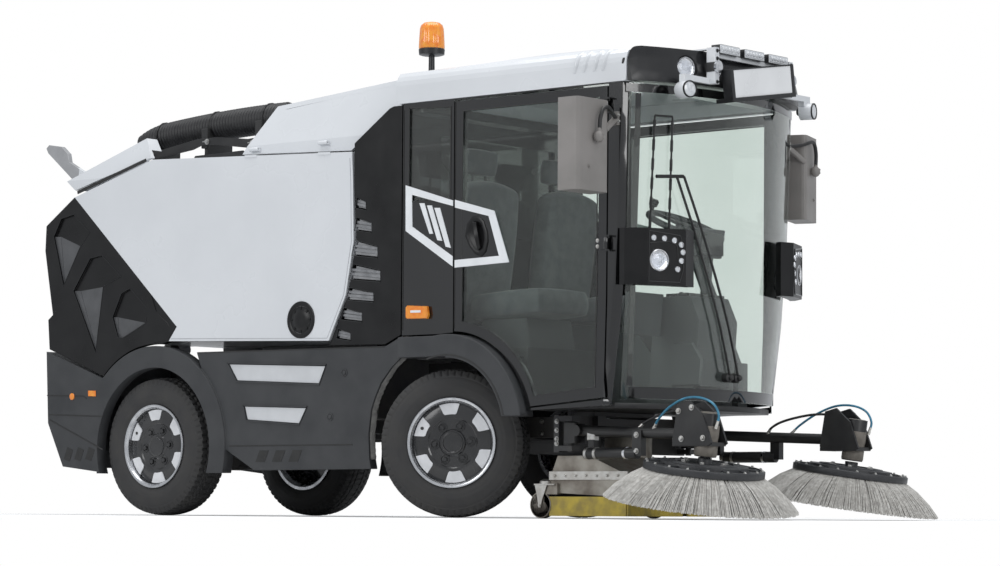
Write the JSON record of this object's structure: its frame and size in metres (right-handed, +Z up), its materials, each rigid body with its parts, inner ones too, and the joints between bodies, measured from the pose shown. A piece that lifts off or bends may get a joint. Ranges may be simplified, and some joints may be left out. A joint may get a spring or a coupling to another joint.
{
  "type": "compact street sweeper truck",
  "caption": "Compact street sweeper with a glazed cab, tipping hopper, steered front wheels, suction mouth and swinging disc brooms.",
  "frame": {"origin": "on the ground below the middle of the vehicle's length and width", "axes": "+X forward along the length, +Y to the vehicle's left, +Z up"},
  "size_m": [4.6841, 1.9896, 2.332],
  "materials": {
    "chassis_paint": "satin black chassis paint",
    "engine_grey": "painted casting",
    "black_paint": "black powder coat",
    "gloss_black": "glossy black panel",
    "white_paint": "cool white paint",
    "black_plastic": "satin black moulding",
    "clear_glass": "clear, faint green tint",
    "tinted_glass": "dark tinted",
    "interior_plastic": "grained interior moulding",
    "seat_fabric": "woven seat cover",
    "grey_plastic": "grained grey moulding",
    "lamp_trim": "pale lamp housings",
    "sign_white": "plain white lamp box, blank",
    "amber_lens": "amber lens",
    "dark_grey_plastic": "grained dark grey moulding",
    "bare_steel": "worn steel plate",
    "rim_alloy": "machined face on black",
    "tyre_rubber": "tyre rubber",
    "hose_rubber": "ribbed black hose",
    "bristle": "pale grey plastic bristle"
  },
  "bodies": {
    "chassis": {"frame_rails": "chassis_paint", "front_axle": "chassis_paint", "rear_axle": "chassis_paint", "power_pack": "engine_grey", "cab_floor": "black_paint", "cab_frame": "gloss_black", "cab_roof": "white_paint", "roof_visor": "black_plastic", "cab_glass": "clear_glass", "dashboard": "interior_plastic", "steering_wheel": "interior_plastic", "seats": "seat_fabric", "mirrors": "grey_plastic", "headlamps": "black_plastic", "roof_lamps": "lamp_trim", "sign_box": "sign_white", "beacon": "amber_lens", "front_fenders": "dark_grey_plastic", "side_skirts": "dark_grey_plastic", "vent_panels": "gloss_black", "rear_bumper": "dark_grey_plastic", "suction_mouth": "bare_steel"},
    "steer_left": {"knuckle_left": "chassis_paint"},
    "steer_right": {"knuckle_right": "chassis_paint"},
    "wheel_front_left": {"rim_front_left": "rim_alloy", "tyre_front_left": "tyre_rubber"},
    "wheel_front_right": {"rim_front_right": "rim_alloy", "tyre_front_right": "tyre_rubber"},
    "wheel_rear_left": {"rim_rear_left": "rim_alloy", "tyre_rear_left": "tyre_rubber"},
    "wheel_rear_right": {"rim_rear_right": "rim_alloy", "tyre_rear_right": "tyre_rubber"},
    "cab_door_left": {"door_left": "gloss_black", "door_glass_left": "tinted_glass"},
    "cab_door_right": {"door_right": "gloss_black", "door_glass_right": "tinted_glass"},
    "hopper": {"hopper_bin": "white_paint", "rear_moulding": "black_plastic", "rear_cover": "white_paint", "wander_hose": "hose_rubber"},
    "roof_lid": {"top_cover": "white_paint"},
    "tail_door": {"rear_door": "black_plastic"},
    "swing_left": {"broom_pivot_left": "black_paint"},
    "swing_right": {"broom_pivot_right": "black_paint"},
    "arm_left": {"broom_arm_left": "black_paint"},
    "arm_right": {"broom_arm_right": "black_paint"},
    "broom_left": {"broom_disc_left": "black_plastic", "bristles_left": "bristle"},
    "broom_right": {"broom_disc_right": "black_plastic", "bristles_right": "bristle"}
  },
  "joints": [
    {"name": "steering_left", "type": "hinge", "parent": "chassis", "child": "steer_left", "pos_m": [0.436, 0.445, 0.345], "axis": [0, 0, 1], "range_deg": [-63, 7]},
    {"name": "wheel_front_left_spin", "type": "hinge", "parent": "steer_left", "child": "wheel_front_left", "pos_m": [0.38905, 0.53329, 0.345], "axis": [-0.4695, 0.8829, 0], "continuous": true},
    {"name": "wheel_rear_left_spin", "type": "hinge", "parent": "chassis", "child": "wheel_rear_left", "pos_m": [-1.41, 0.545, 0.345], "axis": [0, 1, 0], "continuous": true},
    {"name": "cab_door_left_hinge", "type": "hinge", "parent": "chassis", "child": "cab_door_left", "pos_m": [1.464, 0.673, 1.2], "axis": [0, 0, -1], "range_deg": [0, 70]},
    {"name": "steering_right", "type": "hinge", "parent": "chassis", "child": "steer_right", "pos_m": [0.436, -0.445, 0.345], "axis": [0, 0, 1], "range_deg": [-63, 7]},
    {"name": "wheel_front_right_spin", "type": "hinge", "parent": "steer_right", "child": "wheel_front_right", "pos_m": [0.48295, -0.53329, 0.345], "axis": [-0.4695, 0.8829, 0], "continuous": true},
    {"name": "wheel_rear_right_spin", "type": "hinge", "parent": "chassis", "child": "wheel_rear_right", "pos_m": [-1.41, -0.545, 0.345], "axis": [0, 1, 0], "continuous": true},
    {"name": "cab_door_right_hinge", "type": "hinge", "parent": "chassis", "child": "cab_door_right", "pos_m": [1.464, -0.673, 1.2], "axis": [0, 0, 1], "range_deg": [0, 70]},
    {"name": "hopper_tip", "type": "hinge", "parent": "chassis", "child": "hopper", "pos_m": [-2.155, 0, 0.888], "axis": [0, -1, 0], "range_deg": [0, 50]},
    {"name": "roof_lid_hinge", "type": "hinge", "parent": "hopper", "child": "roof_lid", "pos_m": [-0.3, -0.622, 1.79], "axis": [1, 0, 0], "range_deg": [0, 75]},
    {"name": "tail_door_hinge", "type": "hinge", "parent": "hopper", "child": "tail_door", "pos_m": [-2.122, 0, 1.64], "axis": [0, 1, 0], "range_deg": [0, 100]},
    {"name": "broom_left_swing", "type": "hinge", "parent": "chassis", "child": "swing_left", "pos_m": [1.095, 0.45, 0.4], "axis": [0, 0, -1], "range_deg": [-25, 9]},
    {"name": "broom_left_lift", "type": "hinge", "parent": "swing_left", "child": "arm_left", "pos_m": [1.178, 0.477, 0.396], "axis": [0, -1, 0], "range_deg": [0, 8]},
    {"name": "broom_left_spin", "type": "hinge", "parent": "arm_left", "child": "broom_left", "pos_m": [1.925, 0.572, 0.205], "axis": [0.1391, 0.0349, 0.9897], "continuous": true},
    {"name": "broom_right_swing", "type": "hinge", "parent": "chassis", "child": "swing_right", "pos_m": [1.095, -0.45, 0.4], "axis": [0, 0, 1], "range_deg": [-25, 9]},
    {"name": "broom_right_lift", "type": "hinge", "parent": "swing_right", "child": "arm_right", "pos_m": [1.178, -0.477, 0.396], "axis": [0, -1, 0], "range_deg": [0, 8]},
    {"name": "broom_right_spin", "type": "hinge", "parent": "arm_right", "child": "broom_right", "pos_m": [1.925, -0.572, 0.205], "axis": [0.1391, -0.0349, 0.9897], "continuous": true}
  ],
  "couplings": [
    {"joint": "steering_right", "follows": "steering_left", "ratio": 1}
  ]
}
